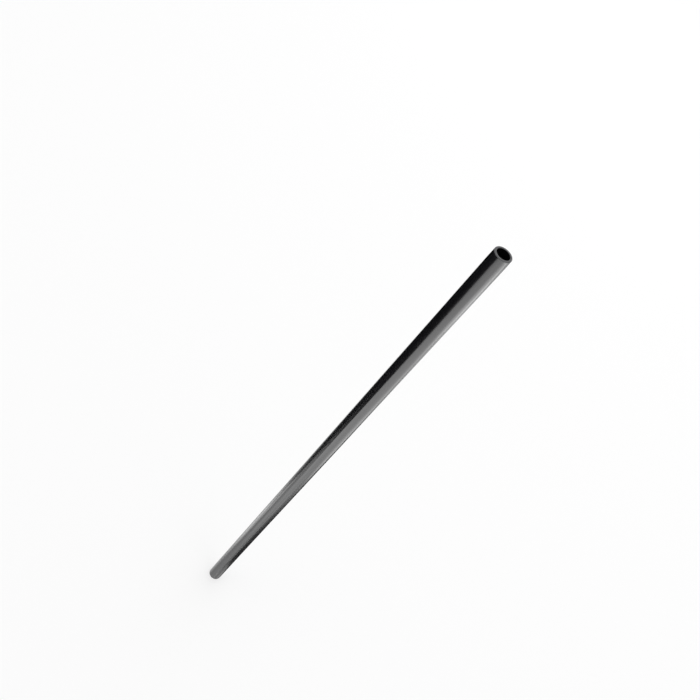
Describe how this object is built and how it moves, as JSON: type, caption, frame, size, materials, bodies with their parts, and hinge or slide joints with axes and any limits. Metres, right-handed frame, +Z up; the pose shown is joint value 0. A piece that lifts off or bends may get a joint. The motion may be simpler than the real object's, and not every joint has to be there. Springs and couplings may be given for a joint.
{
  "type": "drinking straw",
  "caption": "Straight black plastic drinking straw: a round tube with square-cut open ends, standing on one end.",
  "frame": {"origin": "on the plane that the straw stands on, at the centre of its lower cut end", "axes": "+Z up along the straw's axis, from the lower cut end to the upper one; the straw is round, so +X and +Y are any two directions across it"},
  "size_m": [0.005, 0.005, 0.203],
  "materials": {
    "polypropylene": "black polypropylene, extruded, satin gloss with faint lengthwise die lines"
  },
  "bodies": {
    "root": {"straw": "polypropylene"}
  },
  "joints": []
}
